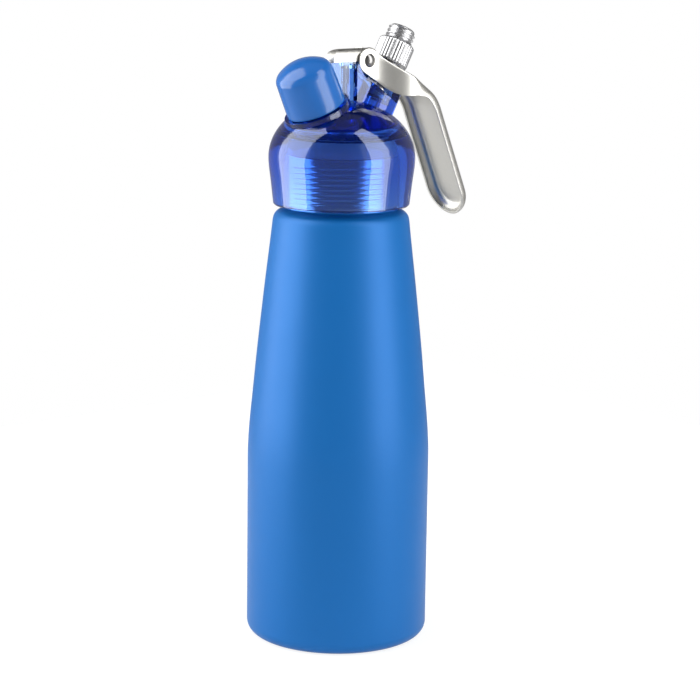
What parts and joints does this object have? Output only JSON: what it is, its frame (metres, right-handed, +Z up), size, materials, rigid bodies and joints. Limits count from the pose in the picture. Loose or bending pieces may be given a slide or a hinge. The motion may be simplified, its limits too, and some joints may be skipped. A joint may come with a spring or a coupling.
{
  "type": "whipped cream dispenser",
  "caption": "Gas-charged cream whipper: tapered metal bottle, screw-on clear head, capped nozzle, squeeze lever and threaded charger inlet.",
  "frame": {"origin": "centre of the bottle's flat base", "axes": "+Z up the bottle's axis, nozzle towards -X, lever and charger inlet towards +X"},
  "size_m": [0.1058, 0.08, 0.2692],
  "materials": {
    "bottle_paint": "matte",
    "blue_clear_plastic": "gloss",
    "cap_plastic": "satin",
    "lever_steel": "satin",
    "pin_steel": "polished",
    "plated_brass": "polished",
    "seat_brass": "machined",
    "tube_aluminium": "satin",
    "tip_plastic": "matte",
    "seal_rubber": "matte",
    "gasket_silicone": "matte",
    "guide_plastic": "matte"
  },
  "bodies": {
    "bottle": {"bottle": "bottle_paint"},
    "head": {"head_body": "blue_clear_plastic", "head_gasket": "gasket_silicone", "valve_seat": "seat_brass", "stem_guide": "guide_plastic", "spring_retainer": "seat_brass", "valve_spring": "pin_steel", "top_cover": "lever_steel", "nozzle_tube": "tube_aluminium", "nozzle_o_ring": "seal_rubber", "inlet_washer": "seal_rubber"},
    "lever": {"lever": "lever_steel", "lever_pin": "pin_steel", "lever_washers": "guide_plastic", "lever_lifter": "pin_steel"},
    "stem": {"valve_stem": "pin_steel", "valve_seal": "seal_rubber", "stem_o_rings": "seal_rubber", "stem_cross_pin": "pin_steel"},
    "tip": {"decorator_tip": "tip_plastic"},
    "cap": {"nozzle_cap": "cap_plastic"},
    "inlet": {"inlet_adapter": "plated_brass", "pin_carrier": "seat_brass", "piercing_pin": "pin_steel", "charger_seal": "seal_rubber", "inlet_filter": "seat_brass", "check_valve": "seal_rubber"}
  },
  "joints": [
    {"name": "head_unscrew", "type": "slide", "parent": "bottle", "child": "head", "axis": [0, 0, 1], "range_m": [0, 0.03]},
    {"name": "lever_squeeze", "type": "hinge", "parent": "head", "child": "lever", "pos_m": [0.0113, 0, 0.2541], "axis": [0, 1, 0], "range_deg": [0, 10], "stiffness_Nm_per_rad": 0.6, "springref_deg": -8.59},
    {"name": "valve_lift", "type": "slide", "parent": "head", "child": "stem", "axis": [0, 0, 1], "range_m": [0, 0.00195], "deforming": ["valve_spring"]},
    {"name": "tip_unscrew", "type": "slide", "parent": "head", "child": "tip", "axis": [-0.4258, 0, 0.9048], "range_m": [0, 0.012]},
    {"name": "cap_pull", "type": "slide", "parent": "tip", "child": "cap", "axis": [-0.4258, 0, 0.9048], "range_m": [0, 0.025]},
    {"name": "inlet_unscrew", "type": "slide", "parent": "head", "child": "inlet", "axis": [0.4695, 0, 0.8829], "range_m": [0, 0.012]}
  ],
  "couplings": [
    {"joint": "valve_lift", "follows": "lever_squeeze", "m_per_rad": 0.01106}
  ]
}
